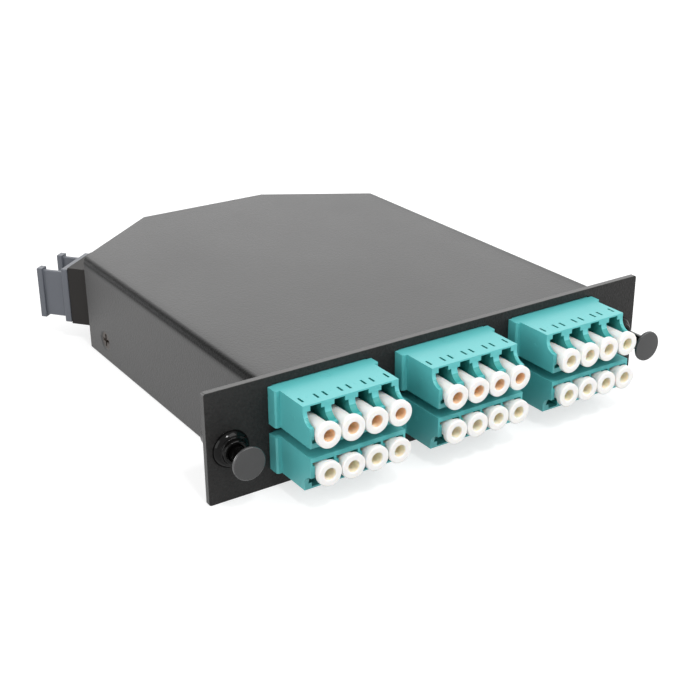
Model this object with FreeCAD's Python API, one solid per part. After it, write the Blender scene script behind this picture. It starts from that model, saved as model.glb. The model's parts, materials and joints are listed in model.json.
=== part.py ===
import FreeCAD, Part
import os
from math import cos, hypot, pi, sin, sqrt

# Fibre cassette: a folded steel box behind a narrow front panel. The panel carries six four-port
# adapters in two rows, with a white dust plug in each port, and a push-pull latch at each end.
# One multi-fibre adapter stands on the left rear corner wall.
#
# Frame, in millimetres: X to the right, Y to the back, Z up. The origin is the middle of the
# line between the two latches, on the panel's rear face.

V = FreeCAD.Vector

# ---- front panel -------------------------------------------------------------------------
PANEL_WIDTH = 129.5
PANEL_THICKNESS = 1.6
PANEL_CORNER_R = 0.6
PANEL_ABOVE_ROWS = 2.4
PANEL_BELOW_ROWS = 4.8
LATCHES_BELOW_PANEL_CENTRE = 0.9
LATCH_FROM_PANEL_END = 6.0
LATCH_OUTSIDE_BODY = 7.55

# ---- folded box --------------------------------------------------------------------------
BODY_DEPTH = 121.5
BODY_TOP_BELOW_PANEL = 0.75
BODY_BOTTOM_ABOVE_PANEL = 0.25
LEFT_CORNER_X = 30.0
LEFT_CORNER_Y = 24.3
RIGHT_CORNER_X = 31.0
RIGHT_CORNER_Y = 19.8
SHEET = 1.0
BEND_OUTER_R = 1.8
SHEET_GAP = 0.1
TRAY_LIP_HEIGHT = 10.0
FRONT_LIP_CLEARANCE = 0.5

# ---- cover screws ------------------------------------------------------------------------
SCREW_SHAFT_R = 1.5
SCREW_HEAD_R = 3.0
SCREW_HEAD_HEIGHT = 0.9
SCREW_LENGTH = 4.5
SCREW_RECESS_ARM = 3.2
SCREW_RECESS_WIDTH = 0.8
SCREW_RECESS_DEPTH = 0.6
SCREW_FROM_CORNER = 11.0
SCREW_ABOVE_BOTTOM = 5.7
SCREW_FIT = 0.02

# ---- four-port adapters ------------------------------------------------------------------
PORTS = 4
PORT_WIDTH = 4.5
ADAPTER_WIDTH = 25.4
ADAPTER_HEIGHT = 9.2
ADAPTER_SIDE_WALL = 1.075
ADAPTER_FLOOR = 1.15
ADAPTER_TO_TRAY_LIP = 1.6
ROW_GAP = 2.4
ADAPTER_TOP_REACH = 12.9
ADAPTER_REAR_REACH = 12.5
ADAPTER_FLANGE_STEP = 1.3
ADAPTER_FLANGE_DEPTH = 3.2
ADAPTER_FLANGE_CHAMFER = 0.4
ADAPTER_SLOT_GAP = 0.2
SCOOP_BELOW_TOP = 1.45
SCOOP_R = 2.8
WINDOW_SIDE_STEP = 0.85
WINDOW_SKIN = 0.4
SHOULDER_BELOW_TOP = 1.5
PORT_FOOT_STEP = 0.55
PORT_FOOT_HEIGHT = 0.9
WEB_FRONT = -2.8
WEB_THICKNESS = 2.4
MARK_OFFSET = 2.0
MARK_WIDTH = 0.55
MARK_LENGTH = 2.3
MARK_BEHIND_EDGE = 1.9
MARK_DEPTH = 0.8

# ---- adapter retaining clips -------------------------------------------------------------
CLIP_SHEET = 0.3
CLIP_GAP = 0.05
CLIP_LENGTH = 6.0
CLIP_BEHIND_PANEL = 0.3
CLIP_LEG = 7.6
CLIP_BARB_SHORT_OF_FLANGE = 0.1
CLIP_BARB_HEIGHT = 3.4

# ---- dust plugs --------------------------------------------------------------------------
PLUG_HEAD_GAP = 0.15
PLUG_HEAD_THICKNESS = 1.4
PLUG_PORT_CLEARANCE = 0.1
PLUG_WALL = 0.7
PLUG_BORE_DEPTH = 8.5
PLUG_STEM_LENGTH = 9.0
PLUG_HEAD_SIDES = 24
PLUG_STEM_SIDES = 12
PLUG_HEAD_BEYOND_LIP = 3.0

# ---- connectors plugged in behind the panel ----------------------------------------------
INNER_PLUG_GAP = 0.05
INNER_PLUG_REACH = 6.5
INNER_BOOT_LENGTH = 12.0
INNER_BOOT_SIZE = 3.0
INNER_BOOT_TIP = 1.6

# ---- push-pull latches -------------------------------------------------------------------
LATCH_HOLE_CLEARANCE = 0.1
LATCH_BARREL_WALL = 1.02
LATCH_BARREL_REACH = 7.0
LATCH_BARREL_SLOT = 0.8
LATCH_SLOT_START = 1.0
LATCH_COLLAR_R = 4.6
LATCH_COLLAR_EDGE = 0.5
LATCH_COLLAR_HEIGHT = 1.6
LATCH_COLLAR_SLOPE = 1.0
LATCH_NECK_R = 3.2
LATCH_NECK_HEIGHT = 1.3
LATCH_NECK_SLOPE = 0.4
LATCH_STEM_R = 2.0
LATCH_STEM_GAP = 0.08
LATCH_HEAD_R = 4.3
LATCH_HEAD_THICKNESS = 1.2
LATCH_HEAD_CHAMFER = 0.25
LATCH_HEAD_GAP = 0.2
LATCH_TRAVEL = 7.5
LATCH_LEFT_PUSHED = 3.0
LATCH_TIP_INSIDE = 4.0

# ---- multi-fibre adapter on the left rear corner wall -------------------------------------
REAR_FROM_CORNER = 3.0
REAR_SOCKET_WIDTH = 7.8
REAR_SOCKET_HEIGHT = 12.6
REAR_SOCKET_DEPTH = 6.9
REAR_SLEEVE_SIDE = 1.9
REAR_SLEEVE_TOP = 0.95
REAR_SLEEVE_INSIDE = 5.0
REAR_WEB = 1.0
REAR_FIT = 0.1
REAR_MOUNT_WALL = 1.2
REAR_MOUNT_DEPTH = 7.4
REAR_FLANGE_STEP = 0.2
REAR_FLANGE_SHORT_OF_MOUNT = 0.45
REAR_FLANGE_THICKNESS = 2.0
REAR_PRONG_FROM_SOCKET = 1.9
REAR_PRONG_LENGTH = 8.0
REAR_PRONG_THICKNESS = 1.2
REAR_PRONG_OVER_SOCKET = 1.1
REAR_RIDGE_THICKNESS = 2.7
REAR_RIDGE_OVER_PRONG = 1.3
REAR_RIDGE_DEPTH = 1.8
REAR_PLUG_LENGTH = 15.4
REAR_BOOT_WIDTH = 4.0
REAR_BOOT_HEIGHT = 7.0
REAR_BOOT_LENGTH = 10.0

# ---- places worked out from the sizes above -----------------------------------------------
LATCH_SPACING = PANEL_WIDTH - 2 * LATCH_FROM_PANEL_END
BODY_WIDTH = LATCH_SPACING - 2 * LATCH_OUTSIDE_BODY
HALF_BODY = BODY_WIDTH / 2
HALF_TRAY = HALF_BODY - SHEET - SHEET_GAP
COLUMN_PITCH = HALF_TRAY - SHEET - ADAPTER_TO_TRAY_LIP - ADAPTER_WIDTH / 2
ROW_PITCH = ADAPTER_HEIGHT + ROW_GAP
PORT_PITCH = (ADAPTER_WIDTH - PORT_WIDTH - 2 * ADAPTER_SIDE_WALL) / (PORTS - 1)
PORT_BELOW_CENTRE = ADAPTER_HEIGHT / 2 - ADAPTER_FLOOR - PORT_WIDTH / 2
PORT_OFFSETS = [(port - (PORTS - 1) / 2) * PORT_PITCH for port in range(PORTS)]
ADAPTER_LIP_REACH = ADAPTER_TOP_REACH + SCOOP_R
ADAPTER_FLANGE_WIDTH = ADAPTER_WIDTH + 2 * ADAPTER_FLANGE_STEP
PLUG_HEAD_R = (PORT_PITCH - PLUG_HEAD_GAP) / 2
PLUG_STEM_R = PORT_WIDTH / 2 - PLUG_PORT_CLEARANCE
PLUG_BORE_R = PLUG_STEM_R - PLUG_WALL
PANEL_FRONT = -PANEL_THICKNESS
PANEL_HEIGHT = ADAPTER_HEIGHT + ROW_PITCH + PANEL_ABOVE_ROWS + PANEL_BELOW_ROWS
PANEL_BOTTOM = LATCHES_BELOW_PANEL_CENTRE - PANEL_HEIGHT / 2
PANEL_TOP = PANEL_BOTTOM + PANEL_HEIGHT
ROWS_Z = PANEL_BOTTOM + PANEL_BELOW_ROWS + (ADAPTER_HEIGHT + ROW_PITCH) / 2
BODY_BOTTOM = PANEL_BOTTOM + BODY_BOTTOM_ABOVE_PANEL
BODY_TOP = PANEL_TOP - BODY_TOP_BELOW_PANEL
BODY_MIDDLE = (BODY_BOTTOM + BODY_TOP) / 2
LEFT_WALL_DEPTH = BODY_DEPTH - LEFT_CORNER_Y
RIGHT_WALL_DEPTH = BODY_DEPTH - RIGHT_CORNER_Y
LATCH_BARREL_R = LATCH_STEM_R + LATCH_STEM_GAP + LATCH_BARREL_WALL
LATCH_HOLE_R = LATCH_BARREL_R + LATCH_HOLE_CLEARANCE
REAR_SLEEVE_WIDTH = REAR_SOCKET_WIDTH + 2 * REAR_SLEEVE_SIDE
REAR_SLEEVE_HEIGHT = REAR_SOCKET_HEIGHT + 2 * REAR_SLEEVE_TOP
REAR_HOLE_WIDTH = REAR_SLEEVE_WIDTH + 2 * REAR_FIT
REAR_HOLE_HEIGHT = REAR_SLEEVE_HEIGHT + 2 * REAR_FIT
REAR_MOUNT_WIDTH = REAR_HOLE_WIDTH + 2 * REAR_MOUNT_WALL
REAR_MOUNT_HEIGHT = REAR_HOLE_HEIGHT + 2 * REAR_MOUNT_WALL
REAR_FLANGE_WIDTH = REAR_MOUNT_WIDTH + 2 * REAR_FLANGE_STEP
REAR_FLANGE_HEIGHT = REAR_MOUNT_HEIGHT - 2 * REAR_FLANGE_SHORT_OF_MOUNT
REAR_FLANGE_FRONT = REAR_MOUNT_DEPTH + REAR_FLANGE_THICKNESS
REAR_WEB_BACK = REAR_FLANGE_FRONT - REAR_SOCKET_DEPTH - REAR_WEB
REAR_SOCKET_ALONG = REAR_FROM_CORNER + REAR_FLANGE_WIDTH / 2
COLUMNS = {"left": -COLUMN_PITCH, "middle": 0.0, "right": COLUMN_PITCH}
ROWS = {"upper": 1, "lower": -1}
LATCHES = {"left": -LATCH_SPACING / 2, "right": LATCH_SPACING / 2}
LATCH_PUSHED = {"left": LATCH_LEFT_PUSHED, "right": 0.0}


# ---- basic shapes ------------------------------------------------------------------------
def block(x, y, z):
    """A box between the low and high value of each axis."""
    return Part.makeBox(x[1] - x[0], y[1] - y[0], z[1] - z[0], V(x[0], y[0], z[0]))


def centred(width, height, y, x=0.0, z=0.0):
    """A box along Y, centred on x and z."""
    return block((x - width / 2, x + width / 2), y, (z - height / 2, z + height / 2))


def rod(radius, y, x=0.0, z=0.0):
    """A round bar along Y."""
    return Part.makeCylinder(radius, y[1] - y[0], V(x, y[0], z), V(0, 1, 0))


def many_sided(radius, sides, y, x=0.0, z=0.0):
    """A near-round bar along Y with flat sides: light enough to repeat many times."""
    turns = [2 * pi * side / sides for side in range(sides)]
    points = [(x + radius * cos(turn), y[0], z + radius * sin(turn)) for turn in turns]
    return prism(points, (0, y[1] - y[0], 0))


def prism(points, direction):
    """A closed outline pushed along a direction."""
    outline = Part.makePolygon([V(*p) for p in points + points[:1]])
    return Part.Face(outline).extrude(V(*direction))


def tapered(size, tip, y, x=0.0, z=0.0):
    """A square bar along Y that narrows from one size to another."""
    return Part.makeWedge(
        -size / 2, y[0], -size / 2, -tip / 2, -tip / 2, size / 2, y[1], size / 2, tip / 2, tip / 2
    ).translated(V(x, 0, z))


def along_y(shape, low, high):
    """The edges that run along Y between two heights of Z."""
    return [
        e
        for e in shape.Edges
        if abs(e.tangentAt(e.FirstParameter).y) > 0.99 and low <= e.CenterOfMass.z <= high
    ]


def save(shape, node):
    """Write one node, as one solid or a group of separate solids."""
    clean = shape.removeSplitter()
    solids = clean.Solids
    result = solids[0] if len(solids) == 1 else Part.makeCompound(solids)
    result.exportStep(f"parts/{node}.step")


# ---- the box's outline -------------------------------------------------------------------
def body_outline(half_width, inset, front):
    """Corners of the box seen from above: two corner walls at the back, set in by inset."""
    left_run = hypot(LEFT_CORNER_X, LEFT_CORNER_Y)
    right_run = hypot(RIGHT_CORNER_X, RIGHT_CORNER_Y)
    back = BODY_DEPTH - inset
    left_slope = LEFT_CORNER_Y / LEFT_CORNER_X
    right_slope = RIGHT_CORNER_Y / RIGHT_CORNER_X
    left_drop = inset * left_run / LEFT_CORNER_X
    right_drop = inset * right_run / RIGHT_CORNER_X
    left_side = LEFT_WALL_DEPTH + (HALF_BODY - half_width) * left_slope - left_drop
    right_side = RIGHT_WALL_DEPTH + (HALF_BODY - half_width) * right_slope - right_drop
    left_back = -half_width + (back - left_side) / left_slope
    right_back = half_width - (back - right_side) / right_slope
    return [
        (-half_width, front),
        (half_width, front),
        (half_width, right_side),
        (right_back, back),
        (left_back, back),
        (-half_width, left_side),
    ]


def outline_prism(half_width, inset, front, z):
    """The box's outline between two heights."""
    points = [(x, y, z[0]) for x, y in body_outline(half_width, inset, front)]
    return prism(points, (0, 0, z[1] - z[0]))


# ---- sheet metal -------------------------------------------------------------------------
def adapter_z(row):
    """Height of a row's adapter centre: the lower row is the upper one turned over."""
    return ROWS_Z + ROWS[row] * ROW_PITCH / 2


def front_panel():
    half = PANEL_WIDTH / 2
    plate = block((-half, half), (PANEL_FRONT, 0), (PANEL_BOTTOM, PANEL_TOP))
    plate = plate.makeFillet(PANEL_CORNER_R, along_y(plate, PANEL_BOTTOM - 1, PANEL_TOP + 1))
    through = (PANEL_FRONT - 1, 1)
    width, height = ADAPTER_WIDTH + 2 * ADAPTER_SLOT_GAP, ADAPTER_HEIGHT + 2 * ADAPTER_SLOT_GAP
    places = [(x, adapter_z(row)) for x in COLUMNS.values() for row in ROWS]
    cuts = [centred(width, height, through, x, z) for x, z in places]
    cuts += [rod(LATCH_HOLE_R, through, x) for x in LATCHES.values()]
    return plate.cut(cuts)


def screw_place():
    """Distance of the side screws from the panel on each side, and their height."""
    z = BODY_BOTTOM + SCREW_ABOVE_BOTTOM
    return {-1: LEFT_WALL_DEPTH - SCREW_FROM_CORNER, 1: RIGHT_WALL_DEPTH - SCREW_FROM_CORNER}, z


def side_cone(side, y, z):
    """The countersunk head's cone, its wide end flush with the box's side."""
    base = V(side * HALF_BODY, y, z)
    inward = V(-side, 0, 0)
    return Part.makeCone(SCREW_HEAD_R, SCREW_SHAFT_R, SCREW_HEAD_HEIGHT, base, inward)


def side_rod(side, y, z, radius, length):
    """A round bar that runs inward from the box's side."""
    return Part.makeCylinder(radius, length, V(side * HALF_BODY, y, z), V(-side, 0, 0))


def cover():
    """Top sheet with both side walls folded down from it."""
    inner = HALF_BODY - SHEET
    outer = outline_prism(HALF_BODY, 0, 0, (BODY_BOTTOM, BODY_TOP))
    top_bends = along_y(outer, BODY_TOP - 0.01, BODY_TOP + 0.01)
    outer = outer.makeFillet(BEND_OUTER_R, top_bends)
    deep = 2 * BODY_DEPTH
    hollow = block((-inner, inner), (-1, deep), (BODY_BOTTOM - 1, BODY_TOP - SHEET))
    inner_bends = along_y(hollow, BODY_TOP - SHEET - 0.01, BODY_TOP)
    hollow = hollow.makeFillet(BEND_OUTER_R - SHEET, inner_bends)
    shell = outer.cut(hollow)
    places, z = screw_place()
    for side, y in places.items():
        hole = side_rod(side, y, z, SCREW_SHAFT_R + SCREW_FIT, 2 * SHEET)
        shell = shell.cut([hole, side_cone(side, y, z)])
    return shell


def base_tray():
    """Floor, back wall and corner walls folded from one sheet, with low lips at sides and front."""
    top = BODY_TOP - SHEET - SHEET_GAP
    outer = outline_prism(HALF_TRAY, 0, 0, (BODY_BOTTOM, top))
    inner = outline_prism(HALF_TRAY - SHEET, SHEET, -1, (BODY_BOTTOM + SHEET, top + 1))
    tray = outer.cut(inner)
    lip = BODY_BOTTOM + TRAY_LIP_HEIGHT
    for side, wall in ((-1, LEFT_WALL_DEPTH), (1, RIGHT_WALL_DEPTH)):
        edges = sorted((side * (HALF_TRAY - 2 * SHEET), side * (HALF_TRAY + 1)))
        tray = tray.cut(block(edges, (-1, wall - SHEET_GAP), (lip, top + 1)))
    clip_bottom = adapter_z("lower") - ADAPTER_HEIGHT / 2 - CLIP_GAP - CLIP_SHEET
    front_z = (BODY_BOTTOM, clip_bottom - FRONT_LIP_CLEARANCE)
    front_lip = block((-HALF_TRAY, HALF_TRAY), (0, SHEET), front_z)
    tray = tray.fuse(front_lip)
    places, z = screw_place()
    for side, y in places.items():
        tray = tray.cut(side_rod(side, y, z, SCREW_SHAFT_R, 4 * SHEET))
    return tray.cut(in_corner_wall(rear_opening()))


def cover_screws():
    """One countersunk cross-recess screw in each side wall."""
    places, z = screw_place()
    screws = []
    for side, y in places.items():
        screw = side_cone(side, y, z).fuse(side_rod(side, y, z, SCREW_SHAFT_R, SCREW_LENGTH))
        face = side * HALF_BODY
        depth = sorted((face - side * SCREW_RECESS_DEPTH, face + side))
        arm, half = SCREW_RECESS_ARM / 2, SCREW_RECESS_WIDTH / 2
        cross = [
            block(depth, (y - arm, y + arm), (z - half, z + half)),
            block(depth, (y - half, y + half), (z - arm, z + arm)),
        ]
        screws.append(screw.cut(cross))
    return Part.makeCompound(screws)


# ---- four-port adapters, drawn with the latch side up, y=0 at the panel's front face -------
def adapter_block():
    """The adapter's side outline pushed across its width, its front scooped below the top edge."""
    half, bottom, top = ADAPTER_WIDTH / 2, -ADAPTER_HEIGHT / 2, ADAPTER_HEIGHT / 2
    scoop_z = top - SCOOP_BELOW_TOP
    middle = SCOOP_R * sqrt(0.5)
    corners = [
        V(-half, -ADAPTER_TOP_REACH, scoop_z),
        V(-half, -ADAPTER_TOP_REACH, top),
        V(-half, ADAPTER_REAR_REACH, top),
        V(-half, ADAPTER_REAR_REACH, bottom),
        V(-half, -ADAPTER_LIP_REACH, bottom),
        V(-half, -ADAPTER_LIP_REACH, scoop_z - SCOOP_R),
    ]
    on_arc = V(-half, middle - ADAPTER_LIP_REACH, scoop_z - middle)
    scoop = Part.Arc(corners[-1], on_arc, corners[0])
    edges = [Part.makeLine(a, b) for a, b in zip(corners, corners[1:])] + [scoop.toShape()]
    return Part.Face(Part.Wire(edges)).extrude(V(ADAPTER_WIDTH, 0, 0))


def port_section(x, y):
    """Outline of one port: wide feet below, a square shaft, and a narrow latch window above."""
    top = ADAPTER_HEIGHT / 2
    half = PORT_WIDTH / 2
    floor = -PORT_BELOW_CENTRE - half
    heights = [floor, floor + PORT_FOOT_HEIGHT, top - SHOULDER_BELOW_TOP, top - WINDOW_SKIN]
    halves = [half + PORT_FOOT_STEP, half, half - WINDOW_SIDE_STEP]
    right = []
    for reach, low, high in zip(halves, heights, heights[1:]):
        right += [(x + reach, y, low), (x + reach, y, high)]
    left = [(2 * x - px, y, pz) for px, _, pz in reversed(right)]
    return right + left


def adapter():
    body = adapter_block()
    flange = centred(ADAPTER_FLANGE_WIDTH, ADAPTER_HEIGHT, (-ADAPTER_FLANGE_DEPTH, 0))
    front_edges = [
        e
        for e in flange.Edges
        if abs(e.CenterOfMass.y + ADAPTER_FLANGE_DEPTH) < 0.01 and abs(e.CenterOfMass.x) > 1
    ]
    body = body.fuse(flange.makeChamfer(ADAPTER_FLANGE_CHAMFER, front_edges))
    depth = ADAPTER_LIP_REACH + 1 + WEB_FRONT
    front = [prism(port_section(x, -ADAPTER_LIP_REACH - 1), (0, depth, 0)) for x in PORT_OFFSETS]
    rear_y = (WEB_FRONT + WEB_THICKNESS, ADAPTER_REAR_REACH + 1)
    rear = [centred(PORT_WIDTH, PORT_WIDTH, rear_y, x, -PORT_BELOW_CENTRE) for x in PORT_OFFSETS]
    mark_y = -ADAPTER_TOP_REACH + MARK_BEHIND_EDGE
    top = ADAPTER_HEIGHT / 2
    mark_span = (mark_y, mark_y + MARK_LENGTH)
    mark_places = [x + side * MARK_OFFSET for x in PORT_OFFSETS for side in (-1, 1)]
    marks = [centred(MARK_WIDTH, 2 * MARK_DEPTH, mark_span, x, top) for x in mark_places]
    return body.cut(front + rear + marks)


def seat(shape, column, row):
    """Put a piece drawn about an adapter's centre into its column and row."""
    placed = shape.copy()
    if ROWS[row] < 0:
        placed.rotate(V(0, 0, 0), V(0, 1, 0), 180)
    placed.translate(V(COLUMNS[column], PANEL_FRONT, adapter_z(row)))
    return placed


def adapter_clip():
    """Spring strip bent over the adapter's top, its legs flared out behind the panel."""
    inner, outer = ADAPTER_WIDTH / 2 + CLIP_GAP, ADAPTER_WIDTH / 2 + CLIP_GAP + CLIP_SHEET
    top = ADAPTER_HEIGHT / 2 + CLIP_GAP
    front = PANEL_THICKNESS + CLIP_BEHIND_PANEL
    span = (front, front + CLIP_LENGTH)
    strip = block((-outer, outer), span, (top, top + CLIP_SHEET))
    parts = []
    barb_top = CLIP_BARB_HEIGHT / 2
    barb_reach = ADAPTER_FLANGE_WIDTH / 2 - CLIP_BARB_SHORT_OF_FLANGE
    for side in (-1, 1):
        leg = sorted((side * inner, side * outer))
        parts.append(block(leg, span, (top - CLIP_LEG, top + CLIP_SHEET)))
        barb = [
            (side * outer, span[1], -barb_top),
            (side * inner, span[1], -barb_top),
            (side * (barb_reach - CLIP_SHEET), front, -barb_top),
            (side * barb_reach, front, -barb_top),
        ]
        parts.append(prism(barb, (0, 0, CLIP_BARB_HEIGHT)))
    return strip.fuse(parts)


def inner_plugs():
    """Four square connectors in the adapter's rear ports, each with a tapered boot."""
    size = PORT_WIDTH - 2 * INNER_PLUG_GAP
    front = WEB_FRONT + WEB_THICKNESS + INNER_PLUG_GAP
    back = ADAPTER_REAR_REACH + INNER_PLUG_REACH
    boot_y = (back, back + INNER_BOOT_LENGTH)
    plugs = []
    for x in PORT_OFFSETS:
        shell = centred(size, size, (front, back), x, -PORT_BELOW_CENTRE)
        boot = tapered(INNER_BOOT_SIZE, INNER_BOOT_TIP, boot_y, x, -PORT_BELOW_CENTRE)
        plugs.append(shell.fuse(boot))
    return Part.makeCompound(plugs)


def dust_plug(x):
    """Hollow round plug: a wide ring at the front and a plain stem in the port."""
    face = -ADAPTER_LIP_REACH - PLUG_HEAD_BEYOND_LIP
    neck = face + PLUG_HEAD_THICKNESS
    z = -PORT_BELOW_CENTRE
    head = many_sided(PLUG_HEAD_R, PLUG_HEAD_SIDES, (face, neck), x, z)
    stem = many_sided(PLUG_STEM_R, PLUG_STEM_SIDES, (neck, neck + PLUG_STEM_LENGTH), x, z)
    bore = many_sided(PLUG_BORE_R, PLUG_STEM_SIDES, (face - 1, face + PLUG_BORE_DEPTH), x, z)
    return head.fuse(stem).cut(bore)


# ---- push-pull latches, drawn pulled out -------------------------------------------------
def turned_section(points, x):
    """A closed section of (radius, y) corners turned about a latch's axis."""
    corners = [V(radius, y, 0) for radius, y in points]
    section = Part.Face(Part.makePolygon(corners + corners[:1]))
    return section.revolve(V(0, 0, 0), V(0, 1, 0), 360).translated(V(x, 0, 0))


def collar_front():
    return PANEL_FRONT - LATCH_COLLAR_HEIGHT


def neck_front():
    return collar_front() - LATCH_NECK_HEIGHT


def latch_grommets():
    """Both grommets: sloped collar and neck in front of the panel, split barrel behind it."""
    bore = LATCH_STEM_R + LATCH_STEM_GAP
    section = [
        (bore, neck_front()),
        (LATCH_NECK_R - LATCH_NECK_SLOPE, neck_front()),
        (LATCH_NECK_R, collar_front()),
        (LATCH_COLLAR_R - LATCH_COLLAR_SLOPE, collar_front()),
        (LATCH_COLLAR_R, PANEL_FRONT - LATCH_COLLAR_EDGE),
        (LATCH_COLLAR_R, PANEL_FRONT),
        (LATCH_BARREL_R, PANEL_FRONT),
        (LATCH_BARREL_R, LATCH_BARREL_REACH),
        (bore, LATCH_BARREL_REACH),
    ]
    slot_y = (LATCH_SLOT_START, LATCH_BARREL_REACH + 1)
    grommets = []
    for x in LATCHES.values():
        slot = centred(LATCH_BARREL_SLOT, 3 * LATCH_BARREL_R, slot_y, x)
        grommets.append(turned_section(section, x).cut(slot))
    return Part.makeCompound(grommets)


def latch_plunger(x, pushed):
    """Round push head on a stem that runs in the grommet, pushed in from its pulled-out stop."""
    back = neck_front() - LATCH_HEAD_GAP - LATCH_TRAVEL + pushed
    front = back - LATCH_HEAD_THICKNESS
    tip = LATCH_TIP_INSIDE + pushed
    section = [
        (0, front),
        (LATCH_HEAD_R - LATCH_HEAD_CHAMFER, front),
        (LATCH_HEAD_R, front + LATCH_HEAD_CHAMFER),
        (LATCH_HEAD_R, back),
        (LATCH_STEM_R, back),
        (LATCH_STEM_R, tip),
        (0, tip),
    ]
    return turned_section(section, x)


# ---- multi-fibre adapter, drawn with its socket axis on Y and its wall's outer face at y=0 --
def in_corner_wall(shape):
    """Turn and move a piece so that +Y points straight out of the left rear corner wall."""
    run = hypot(LEFT_CORNER_X, LEFT_CORNER_Y)
    along = V(LEFT_CORNER_X / run, LEFT_CORNER_Y / run, 0)
    out = V(-along.y, along.x, 0)
    place = V(-HALF_BODY, LEFT_WALL_DEPTH, BODY_MIDDLE) + along * REAR_SOCKET_ALONG
    turn = FreeCAD.Matrix(along.x, out.x, 0, place.x, along.y, out.y, 0, place.y, 0, 0, 1, place.z)
    moved = shape.copy()
    moved.Placement = FreeCAD.Placement(turn)
    return moved


def rear_opening():
    """The hole through mount and corner wall, which the adapter's inner sleeve passes."""
    return centred(REAR_HOLE_WIDTH, REAR_HOLE_HEIGHT, (-2 * SHEET, REAR_MOUNT_DEPTH + SHEET))


def rear_adapter_mount():
    """Rectangular collar that carries the multi-fibre adapter off the corner wall."""
    collar = centred(REAR_MOUNT_WIDTH, REAR_MOUNT_HEIGHT, (0, REAR_MOUNT_DEPTH))
    return in_corner_wall(collar.cut(rear_opening()))


def rear_adapter():
    """Flange plate, an inner sleeve and two outer prongs with thicker, taller end ridges."""
    plate = (REAR_MOUNT_DEPTH, REAR_FLANGE_FRONT)
    flange = centred(REAR_FLANGE_WIDTH, REAR_FLANGE_HEIGHT, plate)
    sleeve_span = (-REAR_SLEEVE_INSIDE, REAR_MOUNT_DEPTH)
    pieces = [centred(REAR_SLEEVE_WIDTH, REAR_SLEEVE_HEIGHT, sleeve_span)]
    end = REAR_FLANGE_FRONT + REAR_PRONG_LENGTH
    prong_height = REAR_SOCKET_HEIGHT + REAR_PRONG_OVER_SOCKET
    ridge_height = prong_height + REAR_RIDGE_OVER_PRONG
    for side in (-1, 1):
        x = side * (REAR_SOCKET_WIDTH / 2 + REAR_PRONG_FROM_SOCKET)
        pieces.append(centred(REAR_PRONG_THICKNESS, prong_height, (REAR_FLANGE_FRONT, end), x))
        pieces.append(centred(REAR_RIDGE_THICKNESS, ridge_height, (end - REAR_RIDGE_DEPTH, end), x))
    sockets = [(REAR_WEB_BACK + REAR_WEB, end), (-REAR_SLEEVE_INSIDE - 1, REAR_WEB_BACK)]
    cavities = [centred(REAR_SOCKET_WIDTH, REAR_SOCKET_HEIGHT, y) for y in sockets]
    return in_corner_wall(flange.fuse(pieces).cut(cavities))


def inner_multi_fibre_plug():
    """Connector plugged in from inside the box, with its boot."""
    width, height = REAR_SOCKET_WIDTH - 2 * REAR_FIT, REAR_SOCKET_HEIGHT - 2 * REAR_FIT
    front = REAR_WEB_BACK - REAR_FIT
    back = front - REAR_PLUG_LENGTH
    shell = centred(width, height, (back, front))
    boot = centred(REAR_BOOT_WIDTH, REAR_BOOT_HEIGHT, (back - REAR_BOOT_LENGTH, back))
    return in_corner_wall(shell.fuse(boot))


# ---- the whole cassette ------------------------------------------------------------------
def build():
    """Every node of the cassette by name."""
    nodes = {
        "front_panel": front_panel(),
        "base_tray": base_tray(),
        "cover": cover(),
        "cover_screws": cover_screws(),
        "rear_adapter_mount": rear_adapter_mount(),
        "rear_adapter": rear_adapter(),
        "inner_multi_fibre_plug": inner_multi_fibre_plug(),
        "latch_grommets": latch_grommets(),
    }
    per_adapter = {
        "adapter": adapter(),
        "adapter_clip": adapter_clip(),
        "inner_plugs": inner_plugs(),
    }
    for row in ROWS:
        for column in COLUMNS:
            for name, shape in per_adapter.items():
                nodes[f"{name}_{row}_{column}"] = seat(shape, column, row)
            for number, x in enumerate(PORT_OFFSETS, start=1):
                port = x * ROWS[row]
                nodes[f"dust_plug_{row}_{column}_{number}"] = seat(dust_plug(port), column, row)
    for side, x in LATCHES.items():
        nodes[f"latch_plunger_{side}"] = latch_plunger(x, LATCH_PUSHED[side])
    return nodes


os.makedirs("parts", exist_ok=True)
for node, solid in build().items():
    save(solid, node)
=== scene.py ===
"""Looks of the fibre cassette: finer meshes, finishes, floor, light and camera."""

import json
import logging
import math
from dataclasses import dataclass, replace
from enum import Enum

import bmesh
import bpy
from mathutils import Matrix, Vector

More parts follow.
